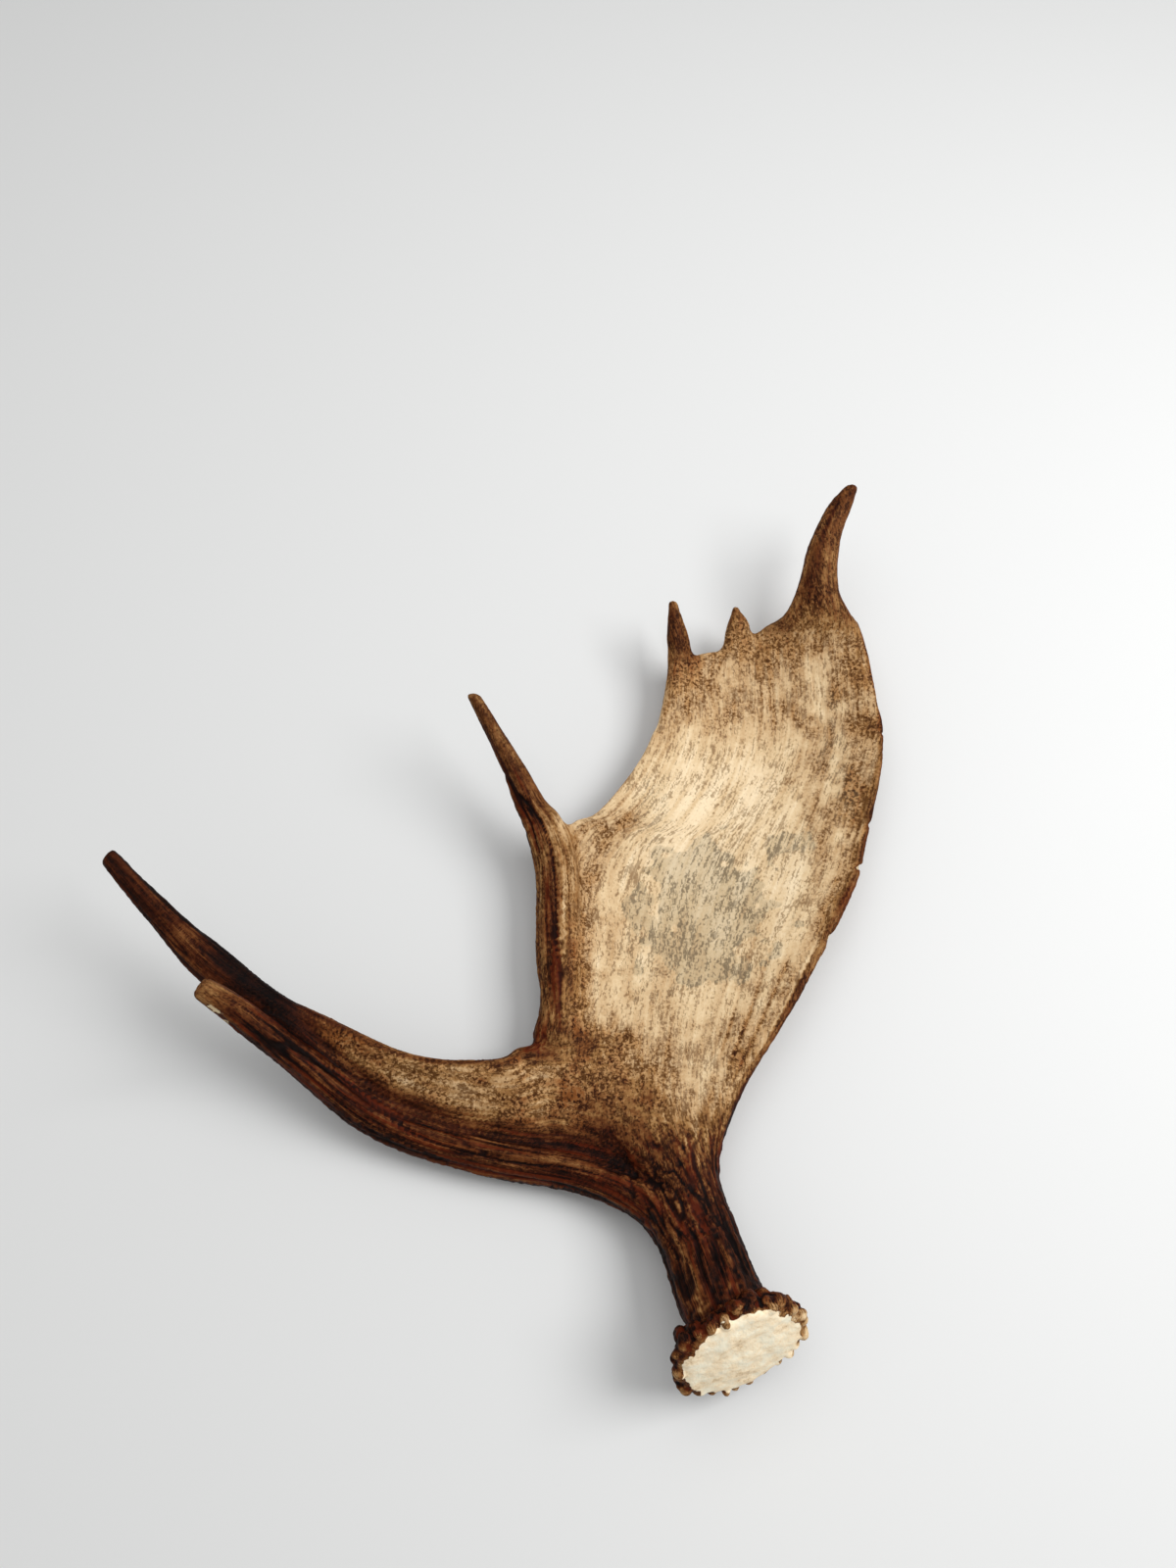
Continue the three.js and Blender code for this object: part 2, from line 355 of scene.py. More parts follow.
def unshrunk(points, edges, rounds):
    """Smoothing that keeps the volume: a step towards the neighbours' mean, then a longer one away."""
    for _ in range(rounds):
        points = points + 0.5 * (neighbour_mean(points, edges) - points)
        points = points - 0.53 * (neighbour_mean(points, edges) - points)
    return points


def point_normals(points, quads):
    """Each point's outward direction: the sum of the diagonals' cross products of the quads round it."""
    a, b, c, d = (points[quads[:, k]] for k in range(4))
    face = np.cross(c - a, d - b)
    corners, count = quads.ravel(), len(points)
    total = [np.bincount(corners, weights=np.repeat(face[:, k], 4), minlength=count) for k in range(3)]
    return unit(np.stack(total, -1) + 1e-12)


def hashed(cells, seed):
    """A repeatable value from -1 to 1 for each row of three whole numbers."""
    x, y, z = (cells[..., k].astype(np.uint64) for k in range(3))
    mixed = (x * np.uint64(73856093)) ^ (y * np.uint64(19349663)) ^ (z * np.uint64(83492791))
    mixed = (mixed ^ np.uint64(seed * 2654435761 + 97)) * np.uint64(6364136223846793005)
    mixed = (mixed ^ (mixed >> np.uint64(31))) * np.uint64(1442695040888963407)
    return ((mixed >> np.uint64(40)).astype(np.float64) / 2.0**23) - 1.0


def noise(where, seed):
    """Value noise: random numbers at whole places, blended by cubic S curves. Each seed is one field."""
    cell = np.floor(where).astype(np.int64)
    part = where - cell
    part = part * part * (3 - 2 * part)
    total = 0.0
    for corner in np.ndindex(2, 2, 2):
        share = np.prod(np.where(np.array(corner) == 1, part, 1 - part), axis=-1)
        total = total + share * hashed(cell + 4096 + np.array(corner), seed)
    return total * 1.6


class Growth:
    """A limb's own straightened coordinates at the skin's points, and its hold on each.

    t runs in stations and along in millimetres. side is -1 and 1 at the margins, and depth is the height in
    millimetres over the middle surface. The hold falls off outside the limb as a bell curve.
    """

    SAMPLES_PER_STATION = 16
    HOLD_REACH = 5.0  # mm

    def __init__(self, name, points):
        count = len(LIMBS[name]) - 1
        t = np.linspace(0, count, self.SAMPLES_PER_STATION * count + 1)
        middle, across, forward, up, half, hollow = limb_frame(name, t)
        width = np.linalg.norm(across, axis=1) / 2
        sideways = unit(across)
        ahead = unit(np.cross(up, sideways))
        best = np.full(len(points), 1e18)
        pick = np.zeros(len(points), int)
        for k in range(len(t)):
            offset = points - middle[k]
            reach = offset @ sideways[k]
            past = np.maximum(np.abs(reach) - width[k], 0)
            gap = (offset**2).sum(1) - reach**2 + past**2
            nearer = gap < best
            best[nearer] = gap[nearer]
            pick[nearer] = k
        offset = points - middle[pick]
        step = (offset * ahead[pick]).sum(1)
        path = np.concatenate([[0], np.cumsum(np.linalg.norm(np.diff(middle, axis=0), axis=1))])
        pace = np.gradient(path, t)[pick]
        self.t = t[pick] + np.clip(step / pace, -1, 1)
        self.along = path[pick] + step
        self.width = np.interp(self.t, t, width)
        self.half = np.interp(self.t, t, half)
        self.side = (offset * sideways[pick]).sum(1) / self.width
        self.depth = (offset * up[pick]).sum(1) + hollow[pick] * (1 - np.clip(self.side, -1, 1) ** 2)
        beyond = np.maximum(np.abs(self.side) - 1, 0) * self.width
        outside = np.maximum(np.abs(self.depth) - self.half, 0)
        ends = np.maximum(-self.along, 0) + np.maximum(self.along - path[-1], 0)
        self.hold = np.exp(-(beyond**2 + outside**2 + (ends / 2) ** 2) / self.HOLD_REACH**2)

    def streaks(self, cell, stretch, seed):
        """Noise drawn out along the growth. It fans out with the limb, fading from octave to octave."""
        level = np.log2(np.maximum(self.width, 2) / cell)
        low = np.floor(level)
        fade = level - low
        total = 0.0
        for step, share in ((0, 1 - fade), (1, fade)):
            fine = 2.0 ** (low + step)
            where = np.stack([self.side * fine, self.depth / cell, self.along / stretch], -1)
            total = total + share * noise(where + 31.7 * (low + step)[:, None] * (1, 0, 0), seed)
        return total / np.sqrt((1 - fade) ** 2 + fade**2)


def blend(growths, values):
    """The limbs' values mixed by their hold on each point."""
    hold = sum(growths[name].hold for name in values)
    return sum(growths[name].hold * value for name, value in values.items()) / hold


def blend_streaks(growths, cell, stretch, seed):
    """The limbs' streaks mixed by their hold, at a contrast that stays the same where limbs meet."""
    hold = {name: growth.hold for name, growth in growths.items()}
    strength = np.sqrt(sum(share**2 for share in hold.values()))
    return sum(hold[name] * growths[name].streaks(cell, stretch, seed) for name in growths) / strength


def knots(t, values):
    """Straight lines between the values given at places along a limb."""
    return np.interp(t, list(values), list(values.values()))


def furrow_strength(growths, normals):
    """How deeply the bone is furrowed: fully on the beam, rod and stem, faintly on the palms and tips."""
    trunk, web, rod, stem = (growths[name] for name in ("trunk", "web", "rod", "side_tine"))
    under = smooth(0.1, -0.5, normals[:, 2])
    rim = smooth(0.82, 0.98, trunk.side) * smooth(10.5, 8, trunk.t)
    beam = smooth(4.4, 2.9, trunk.t)
    on_trunk = np.maximum.reduce([beam, 0.55 * rim, 0.5 * under, np.full(len(under), 0.08)])
    on_web = np.maximum.reduce([0.65 * under, 0.6 * smooth(5.2, 6.2, web.t), 0.5 * smooth(0.8, 1, web.side)])
    on_stem = np.maximum(smooth(0.7, 0.0, stem.side), 0.5 * under) * smooth(6, 4, stem.t) * 0.75 + 0.25
    return blend(growths, {
        "trunk": on_trunk,
        "web": np.maximum(on_web, 0.2),
        "rod": 0.35 + 0.65 * smooth(6.8, 5, rod.t),
        "side_tine": on_stem,
        "left_point": 0.3,
        "middle_point": 0.25,
        "big_point": 0.35,
    })


def burr_frame(points):
    """Distance from the burr's axis, height above the shed face's plane, and angle round the axis."""
    e1, e2, axis = burr_axes()
    offset = points - BURR_CENTRE
    x, y = offset @ e1, offset @ e2
    return np.hypot(x, y), offset @ axis, np.arctan2(y, x)


# Nicks in the right rim of the main palm: t along the trunk, radius and depth in millimetres.
RIM_NICKS = ((7.3, 2.6, 1.8), (6.35, 3.6, 2.6), (5.55, 2.6, 1.6), (9.5, 2.2, 1.0))
STATION_PITCH = 60  # mm of rim from one station to the next, nearly
# Fine folds beside the lower right rim: side at their foot and at their top, and depth in millimetres.
PALM_FOLDS = ((0.62, 0.50, 0.5), (0.74, 0.63, 0.7), (0.84, 0.78, 0.5))
FOLD_SPAN = (4.1, 5.7)  # t along the trunk
FOLD_WIDTH = 1.3
# Stains and paler places on the palm and the fork: middle and half sizes in millimetres, and change of tone.
STAINS = (
    ((62, -122), (30, 34), 0.09),
    ((108, -122), (15, 30), -0.08),
    ((42, -66), (22, 30), 0.05),
    ((160, 130), (48, 12), 0.07),
    ((60, 20), (20, 40), 0.08),
    ((206, 70), (16, 60), 0.1),
    ((185, -10), (16, 34), -0.06),
)
# Grey patches on the palm: middle and half sizes in millimetres, and strength.
ASH_PATCHES = (
    ((122, -2), (44, 46), 1.0),
    ((90, -30), (26, 30), 0.45),
    ((177, 44), (14, 10), 0.8),
    ((88, 66), (12, 34), 0.5),
    ((213, 100), (10, 48), 0.5),
)


def rim_nicks(growths):
    """The depth of the bites along the rim, each a bell curve round its place."""
    trunk = growths["trunk"]
    depth = np.zeros(len(trunk.t))
    for t, radius, bite in RIM_NICKS:
        along = (trunk.t - t) * STATION_PITCH
        inward = (1 - trunk.side) * trunk.width
        depth += bite * np.exp(-(along**2 + inward**2) / radius**2) * (trunk.side > 0.5) * trunk.hold
    return depth


def palm_folds(growths):
    """The depth of narrow grooves beside the rim: a bell curve across, and half a sine along the span."""
    trunk = growths["trunk"]
    share = np.clip((trunk.t - FOLD_SPAN[0]) / (FOLD_SPAN[1] - FOLD_SPAN[0]), 0, 1)
    fade = np.sin(np.pi * share)
    total = np.zeros(len(share))
    for foot, top, depth in PALM_FOLDS:
        middle = foot + (top - foot) * share
        total += depth * np.exp(-(((trunk.side - middle) * trunk.width) / FOLD_WIDTH) ** 2) * fade
    return total * (trunk.depth > 0)


CREASE_ROUNDS = 16  # how far round a point its creases are judged
CREASE_DEPTH = 0.3  # mm, of a full crease
STEP_ROUNDS = 4  # of smoothing that take the voxels' steps away
FORK_ROUNDS = 60  # that fillet the forks, where limbs meet
SKIN_ROUNDS = 8  # over the whole skin, at half strength on the burr
TRUNK_HOLD = 0.02  # the trunk's least hold, which places beyond every limb fall back on

# Streaks of the relief: width and length in millimetres, and seed.
FURROWS = (6.5, 130, 11)
CRACKS = (6.5, 120, 20)
THIN_CRACKS = (3.2, 60, 12)
GRAIN = (1.5, 16, 13)
RIBS = (16, 240, 14)
# Their heights in millimetres.
FURROW_HEIGHT = 0.7
CRACK_DEPTH = 0.95
GRAIN_HEIGHT = 0.13
RIB_HEIGHT = 0.25
SWELL_HEIGHT = 0.4
PITTING = 0.3
COLLAR_ROUGHNESS = 0.9


def burr_share(radius, height):
    """1 on the burr, fading out down the beam with the distance from a cylinder round the face's axis."""
    return smooth(34, 20, np.hypot(np.maximum(radius - 20, 0), np.maximum(-height - 10, 0) * 1.5))


def cast_share(points, radius, height, near_burr):
    """1 on the shed face, up to a ragged edge inside the knobs."""
    ragged = radius + 1.6 * noise(points / 6, 27) + 1.2 * noise(points / 2.4, 28)
    return smooth(-2.6, -0.8, height) * smooth(34.6, 32.8, ragged) * near_burr


def crack_lines(growths):
    """Lines along the growth: bell curves round the places where streak noise passes zero."""
    cracks = np.exp(-(blend_streaks(growths, *CRACKS) / 0.14) ** 2)
    thin = np.exp(-(blend_streaks(growths, *THIN_CRACKS) / 0.28) ** 2)
    return np.maximum(cracks, 0.7 * thin)


def relief(points, growths, strength, lines, collar, cast, away):
    """How far the skin stands out in millimetres: streaks by the furrows' strength, and a rough burr."""
    lift = strength * (FURROW_HEIGHT * blend_streaks(growths, *FURROWS) - CRACK_DEPTH * lines)
    lift += GRAIN_HEIGHT * blend_streaks(growths, *GRAIN) * (0.4 + strength)
    lift += RIB_HEIGHT * blend_streaks(growths, *RIBS)
    lift += SWELL_HEIGHT * noise(points / 42, 15)
    lift += PITTING * strength * noise(points / 2.6, 32)
    rough = 0.35 * noise(points / 1.9, 16) + 0.5 * noise(points / 3.4, 17)
    bumps = 0.5 * noise(points / 9, 18) + 0.2 * noise(points / 2.4, 19)
    return away * lift + collar * rough * COLLAR_ROUGHNESS + cast * bumps


def grown_skin():
    """The finished skin: points in millimetres, quads, normals, fields for its finish, and the limbs."""
    surfaces = [limb_surface(name) for name in LIMBS] + [burr_surface()] + pearls()
    points, quads, edges = welded(*joined(surfaces))
    points = unshrunk(points, edges, STEP_ROUNDS)
    growths = {name: Growth(name, points) for name in LIMBS}
    growths["trunk"].hold += TRUNK_HOLD
    burr_radius, burr_height, _ = burr_frame(points)
    near_burr = burr_share(burr_radius, burr_height)
    meeting = smooth(1.02, 1.5, sum(growth.hold for growth in growths.values()))
    points = relaxed(points, edges, FORK_ROUNDS, share=meeting * (1 - near_burr))
    points = relaxed(points, edges, SKIN_ROUNDS, share=0.5 + 0.5 * (1 - near_burr))
    normals = point_normals(points, quads)

    strength = furrow_strength(growths, normals)
    lines = crack_lines(growths)
    away = 1 - smooth(0.0, 1.0, near_burr)
    collar = smooth(-1.5, -4, burr_height) * near_burr
    cast = cast_share(points, burr_radius, burr_height, near_burr)
    nicks = rim_nicks(growths)
    lift = relief(points, growths, strength, lines, collar, cast, away) - nicks - palm_folds(growths)
    points = points + normals * lift[:, None]
    points = relaxed(points, edges, 1, share=0.5)
    normals = point_normals(points, quads)
    sunk = ((relaxed(points, edges, CREASE_ROUNDS) - points) * normals).sum(1)
    crease = np.clip(sunk / CREASE_DEPTH, -1, 1)
    fields = finish_fields(points, normals, growths, strength, lines * away, crease, cast, near_burr, nicks)
    return points, quads, normals, fields, growths


# Tone at stations along the limbs, from 0, cream, to 1, near black.
TRUNK_TONES = {
    0: 0.84, 2: 0.8, 2.8: 0.72, 3.4: 0.52, 4: 0.34, 4.6: 0.24, 5.4: 0.16, 6.2: 0.11, 9: 0.11, 10.2: 0.21,
    11: 0.34,
}
WEB_TONES = {0: 0.5, 1: 0.45, 2: 0.44, 3: 0.45, 4: 0.58, 4.6: 0.74, 5.2: 1.0, 5.9: 0.86, 6.8: 0.8, 8: 0.92}
ROD_TONES = {0: 0.86, 5.4: 0.86, 6.2: 0.8, 6.7: 0.64, 7: 0.6}
STEM_TONES = {0: 0.5, 3: 0.48, 3.8: 0.6, 5: 0.68, 5.7: 0.64, 6: 0.54}


def macro_tone(growths, normals):
    """How dark the bone is, from 0, cream, to 1, near black, before its streaks and speckles, with painted
    shade on faces that point downwards.
    """
    trunk, web, rod, stem = (growths[name] for name in ("trunk", "web", "rod", "side_tine"))
    # under darkens the faces that point downwards on every limb below: partly painted shade under the limbs,
    # partly the darker furrowed underside of the bone.
    under = smooth(0.15, -0.4, normals[:, 2])
    on_trunk = knots(trunk.t, TRUNK_TONES)
    on_trunk += 0.4 * smooth(0.92, 1.0, trunk.side) + 0.13 * smooth(0.6, 0.92, np.abs(trunk.side))
    on_trunk += 0.12 * smooth(-0.3, -0.8, trunk.side) * smooth(4, 5, trunk.t) * smooth(8.6, 7.2, trunk.t)
    on_trunk += 0.1 * smooth(0.35, 0.75, trunk.side) * smooth(6.8, 7.8, trunk.t)
    on_trunk += 0.22 * under * smooth(3, 5, trunk.t)
    on_web = knots(web.t, WEB_TONES)
    on_web += 0.26 * smooth(0.1, -0.7, web.side) * smooth(5, 4, web.t) + 0.18 * smooth(0.8, 1, web.side)
    on_web += 0.25 * under
    on_rod = knots(rod.t, ROD_TONES) + 0.08 * under
    on_stem = knots(stem.t, STEM_TONES)
    on_stem += 0.26 * smooth(0.3, -0.3, stem.side) * smooth(5.2, 3.4, stem.t)
    return blend(growths, {
        "trunk": on_trunk,
        "web": on_web,
        "rod": on_rod,
        "side_tine": on_stem + 0.12 * under,
        "left_point": knots(growths["left_point"].t, {0: 0.3, 1: 0.46, 2: 0.62, 3: 0.6}),
        "middle_point": knots(growths["middle_point"].t, {0: 0.3, 1: 0.5, 2: 0.62}),
        "big_point": knots(growths["big_point"].t, {0: 0.2, 1: 0.32, 2: 0.5, 3: 0.64, 4: 0.68, 6: 0.64}),
    })


NARROWEST_FAN = 20
TRUNK_FAN = 80
TINE_FAN = 40


def coordinates(growth, fan):
    """Straightened coordinates in millimetres: across, for a half width up to the fan's, depth and along."""
    reach = growth.side * np.minimum(np.maximum(growth.width * 0.9, NARROWEST_FAN), fan)
    return np.stack([reach, growth.depth, growth.along], -1)


def patches(points, places, softness, ragged):
    """The sum of soft ellipses as seen from above, each with its strength, and one ragged border for all."""
    total = np.zeros(len(points))
    for (x, y), (half_x, half_y), strength in places:
        reach = np.hypot((points[:, 0] - x) / half_x, (points[:, 1] - y) / half_y) + ragged
        total += strength * smooth(1 + softness, 1 - softness, reach)
    return total


POINT_LIMBS = ("left_point", "middle_point", "big_point", "side_tine")


def finish_fields(points, normals, growths, strength, lines, crease, cast, near_burr, nicks):
    """The fields that the finish reads at each point: single numbers and straightened coordinates."""
    burr_radius, burr_height, burr_angle = burr_frame(points)
    trunk, web, rod, stem = (growths[name] for name in ("trunk", "web", "rod", "side_tine"))
    middling = blend_streaks(growths, 2.4, 34, 21)
    wide = blend_streaks(growths, 6, 70, 22)
    blotches = noise(points / (14, 20, 14), 29) + 0.6 * noise(points / 6, 30)
    ragged = 0.3 * noise(points / 15, 25) + 0.16 * noise(points / 5, 26)
    tone = macro_tone(growths, normals) + patches(points, STAINS, 0.5, 2 * ragged) * (normals[:, 2] > 0)
    tone += strength * (0.08 * middling + 0.07 * wide + 0.18 * lines + 0.11 * crease)
    tone += (1 - strength) * (0.05 * middling + 0.04 * wide + 0.07 * blotches * smooth(0.05, 0.3, tone))
    tone += 0.3 * palm_folds(growths)
    lit_side = np.cos(burr_angle)
    pearl_tone = 0.64 + 0.2 * crease + 0.1 * noise(points / 5, 23) + 0.36 * smooth(-1.5, -7, burr_height)
    # Painted light and shade on the knobs: paler on the right, where the key light falls, and darker on the
    # shaded left.
    pearl_tone += 0.14 * smooth(0.2, -0.8, lit_side) - 0.08 * smooth(0.4, 0.95, lit_side)
    pearl_tone -= 0.08 * smooth(-3.5, -0.5, burr_height)
    on_collar = near_burr * smooth(28, 31, burr_radius)
    tone = tone * (1 - on_collar) + pearl_tone * on_collar
    brow_share = web.hold + rod.hold
    other = np.where((rod.hold > web.hold)[:, None], coordinates(rod, TINE_FAN), coordinates(web, TINE_FAN))
    other = np.where((stem.hold > brow_share)[:, None], coordinates(stem, TINE_FAN), other)
    mix = brow_share / (brow_share + trunk.hold + 1e-6)
    mix = np.maximum(mix, stem.hold / (stem.hold + trunk.hold + 1e-6) * smooth(0.8, 2.0, stem.t))
    crust = smooth(5.9, 6.2, rod.t) * smooth(6.9, 6.7, rod.t) * smooth(-0.55, -0.85, rod.side) * rod.hold
    crust *= smooth(-0.2, 0.5, noise(points / 3, 31))
    points_share = sum(growths[name].hold * smooth(0.8, 2.2, growths[name].t) for name in POINT_LIMBS)
    brow_tip = web.hold * smooth(4.4, 5.4, web.t)
    rust = 0.5 + 0.5 * blend_streaks(growths, 2.6, 45, 24)
    return {
        "tone": np.clip(tone, 0, 1),
        "furrow": np.maximum(strength, 0.5 * points_share),
        "groove": np.clip(lines * strength, 0, 1),
        "crease": 0.5 + 0.5 * crease,
        "rust": rust * smooth(0.2, 0.7, strength) * (1 - 0.8 * brow_tip),
        "ash": patches(points, ASH_PATCHES, 0.15, ragged) * smooth(4, 5, trunk.t) * (normals[:, 2] > 0),
        "cast": cast,
        "fresh": np.clip(np.maximum(smooth(0.9, 1.6, nicks), 0.8 * crust), 0, 1),
        "grain_mix": smooth(0.25, 0.75, mix),
        "grain_a": coordinates(trunk, TRUNK_FAN),
        "grain_b": other,
    }


# ------------------------------------------------------------------------------------------------ pieces
# Each piece with the node that it stands for and that node's slot. Its place here is its number.
PIECES = (
    ("beam", "beam", "beam_bone"),
    ("main_palm_lower", "main_palm", "palm_bone"),
    ("main_palm_middle", "main_palm", "palm_bone"),
    ("main_palm_upper", "main_palm", "palm_bone"),
    ("side_tine", "side_tine", "tine_bone"),
    ("brow_palm", "brow_palm", "brow_bone"),
    ("upper_brow_tine", "upper_brow_tine", "tine_bone"),
    ("lower_brow_tine", "lower_brow_tine", "tine_bone"),
)
BEAM, PALM_LOWER, _, _, SIDE_TINE, BROW_PALM, UPPER_BROW_TINE, LOWER_BROW_TINE = range(len(PIECES))


def past(cut, points):
    """True for the points on the far side of a saw cut, towards the tips."""
    (x, y), (ahead_x, ahead_y) = cut
    return (points[:, 0] - x) * ahead_x + (points[:, 1] - y) * ahead_y > 0


def piece_numbers(centres, growths, quads):
    """The number of the piece that each quad belongs to."""
    (x, y), (ahead_x, ahead_y) = SIDE_CUT
    sideways = (centres[:, 0] - x) * ahead_y - (centres[:, 1] - y) * ahead_x
    on_side_tine = past(SIDE_CUT, centres) & (np.abs(sideways) < SIDE_CUT_WIDTH / 2)
    rod_nearer = (growths["rod"].hold > growths["web"].hold)[quads].mean(1) > 0.5
    stretch = (centres[:, 1:2] > PALM_PARTINGS).sum(1)
    number = np.full(len(centres), BEAM)
    palm_side = past(BEAM_CUT, centres) & past(PALM_CUT, centres)
    brow_side = past(BEAM_CUT, centres) & ~past(PALM_CUT, centres)
    number[palm_side] = (PALM_LOWER + stretch)[palm_side]
    number[palm_side & on_side_tine] = SIDE_TINE
    number[brow_side] = BROW_PALM
    tines = brow_side & past(BROW_CUT, centres)
    number[tines] = np.where(rod_nearer, LOWER_BROW_TINE, UPPER_BROW_TINE)[tines]
    return number


LIP_DEPTH = 1.2  # mm, how far a piece's open border turns inwards before its cap


def border_loops(start, end):
    """The closed loops that directed border edges form, as lists of their corners in order."""
    onward = {}
    for corner, following in zip(start.tolist(), end.tolist()):
        onward.setdefault(corner, []).append(following)
    loops = []
    for first in start.tolist():
        while onward[first]:
            loop = [first]
            corner = onward[first].pop()
            while corner != first:
                loop.append(corner)
                corner = onward[corner].pop()
            loops.append(np.array(loop))
    return loops


def cap_triangles(points, loop):
    """Triangles that close a loop, worked out on the plane that faces along the loop's area vector."""
    spots = points[loop]
    facing = unit(np.cross(spots, np.roll(spots, -1, axis=0)).sum(0))
    level = unit(np.cross(facing, np.roll(facing, 1)))
    flat = np.stack([spots @ level, spots @ np.cross(facing, level)], -1)
    found = np.array(tessellate_polygon([[Vector(spot) for spot in flat]]), int).reshape(-1, 3)
    a, b, c = (flat[found[:, k]] for k in range(3))
    turned = (b - a)[:, 0] * (c - a)[:, 1] > (b - a)[:, 1] * (c - a)[:, 0]
    found[turned] = found[turned][:, ::-1]
    return loop[found]


def skin_piece(name, points, normals, fields, faces, shift):
    """One closed piece of the skin, with the whole skin's normals so that no parting line shows.

    Each open border gets a lip that turns straight inwards, and the lip's own border is capped.
    """
    start, end = faces.ravel(), np.roll(faces, -1, axis=1).ravel()
    open_edge = ~np.isin(start * len(points) + end, end * len(points) + start)
    start, end = start[open_edge], end[open_edge]
    own, rim = np.unique(faces), np.unique(start)
    used = np.concatenate([own, rim])
    place = points[used] + shift
    place[len(own):] -= normals[rim] * LIP_DEPTH
    outer = np.searchsorted(own, (start, end))
    inner = len(own) + np.searchsorted(rim, (start, end))
    skin = np.searchsorted(own, faces).tolist()
    lips = np.stack([outer[1], outer[0], inner[0], inner[1]], -1).tolist()
    caps = [cap_triangles(place, loop) for loop in border_loops(inner[0], inner[1])]
    mesh = bpy.data.meshes.new(name)
    mesh.from_pydata((place * MM).tolist(), [], skin + lips + np.vstack(caps).tolist())
    mesh.shade_smooth()
    mesh.normals_split_custom_set_from_vertices(normals[used].tolist())
    for field, values in fields.items():
        kind, slot = ("FLOAT", "value") if values.ndim == 1 else ("FLOAT_VECTOR", "vector")
        layer = mesh.attributes.new(field, kind, "POINT")
        layer.data.foreach_set(slot, values[used].astype(np.float32).ravel())
    piece = bpy.data.objects.new(name, mesh)
    bpy.context.scene.collection.objects.link(piece)
    return piece


# ------------------------------------------------------------------------------------------------ finish
class Socket:
    """An output socket with arithmetic: numbers add Math nodes, colours go through mixed()."""

    def __init__(self, finish, link):
        self.finish, self.link = finish, link

    def _math(self, operation, *values):
        return self.finish.node("ShaderNodeMath", {"operation": operation}, dict(enumerate(values)))

    def __add__(self, other):
        return self._math("ADD", self, other)

    def __radd__(self, other):
        return self._math("ADD", other, self)

    def __sub__(self, other):
        return self._math("SUBTRACT", self, other)

    def __rsub__(self, other):
        return self._math("SUBTRACT", other, self)

    def __mul__(self, other):
        return self._math("MULTIPLY", self, other)

    def __rmul__(self, other):
        return self._math("MULTIPLY", other, self)

    def clamped(self):
        return self._math("MAXIMUM", self._math("MINIMUM", self, 1.0), 0.0)

    def band(self, low, high):
        """0 at low, 1 at high and an S between them."""
        values = {"Value": self, "From Min": low, "From Max": high}
        return self.finish.node("ShaderNodeMapRange", {"interpolation_type": "SMOOTHSTEP"}, values)


class Finish:
    """One material under construction."""

    def __init__(self, name):
        self.material = bpy.data.materials.new(name)
        self.material.use_nodes = True
        self.tree = self.material.node_tree
        self.shader = self.tree.nodes["Principled BSDF"]

    def node(self, kind, settings=None, values=None, output=0):
        """A node of the kind, with its settings, then its inputs' values or links; returns one output."""
        made = self.tree.nodes.new(kind)
        for key, value in (settings or {}).items():
            if key == "stops":
                self._stops(made.color_ramp, value)
            else:
                setattr(made, key, value)
        for key, value in (values or {}).items():
            self.feed(made.inputs[key], value)
        return Socket(self, made.outputs[output])

    def _stops(self, ramp, stops):
        while len(ramp.elements) < len(stops):
            ramp.elements.new(0.5)
        for element, (position, colour) in zip(ramp.elements, stops):
            element.position = position
            element.color = (*colour, 1)

    def feed(self, socket, value):
        if isinstance(value, Socket):
            self.tree.links.new(value.link, socket)
        else:
            socket.default_value = value

    def set(self, **values):
        for name, value in values.items():
            self.feed(self.shader.inputs[name.replace("_", " ")], value)

    def field(self, name, output=2):
        return self.node("ShaderNodeAttribute", {"attribute_name": name}, output=output)

    def noise(self, vector, scale, detail, roughness):
        values = {"Vector": vector, "Scale": scale, "Detail": detail, "Roughness": roughness}
        return self.node("ShaderNodeTexNoise", {}, values)

    def stretched(self, vector, scales):
        return self.node("ShaderNodeVectorMath", {"operation": "MULTIPLY"}, {0: vector, 1: scales})

    def mixed(self, factor, first, second):
        """Two colours mixed. The Mix node's colour sockets are told apart by number."""
        made = self.tree.nodes.new("ShaderNodeMix")
        made.data_type = "RGBA"
        self.feed(made.inputs[0], factor)
        self.feed(made.inputs[6], first)
        self.feed(made.inputs[7], second)
        return Socket(self, made.outputs[2])

    def between(self, factor, first, second):
        """Two numbers mixed."""
        return first + factor * (second - first)


def linear(red, green, blue):
    """A display colour of 0 to 255 as scene light."""
    levels = (red / 255, green / 255, blue / 255)
    return tuple(c / 12.92 if c <= 0.04045 else ((c + 0.055) / 1.055) ** 2.4 for c in levels)


# Colours by tone, from cream to near black: the bone itself, its dark flecks and its worn pale hairlines.
BODY_STOPS = (
    (0.0, linear(244, 222, 186)),
    (0.15, linear(224, 196, 154)),
    (0.3, linear(196, 160, 116)),
    (0.45, linear(154, 112, 66)),
    (0.6, linear(114, 70, 36)),
    (0.75, linear(66, 27, 10)),
    (0.88, linear(34, 10, 4)),
    (1.0, linear(8, 3, 3)),
)
FLECK_STOPS = (
    (0.0, linear(162, 136, 102)),
    (0.2, linear(134, 104, 72)),
    (0.4, linear(96, 60, 26)),
    (0.6, linear(48, 19, 6)),
    (0.8, linear(12, 4, 2)),
    (1.0, linear(3, 2, 2)),
)
HAIRLINE_STOPS = (
    (0.0, linear(250, 234, 204)),
    (0.2, linear(240, 214, 174)),
    (0.45, linear(204, 158, 106)),
    (0.65, linear(150, 92, 46)),
    (0.85, linear(100, 48, 20)),
    (1.0, linear(66, 34, 18)),
)
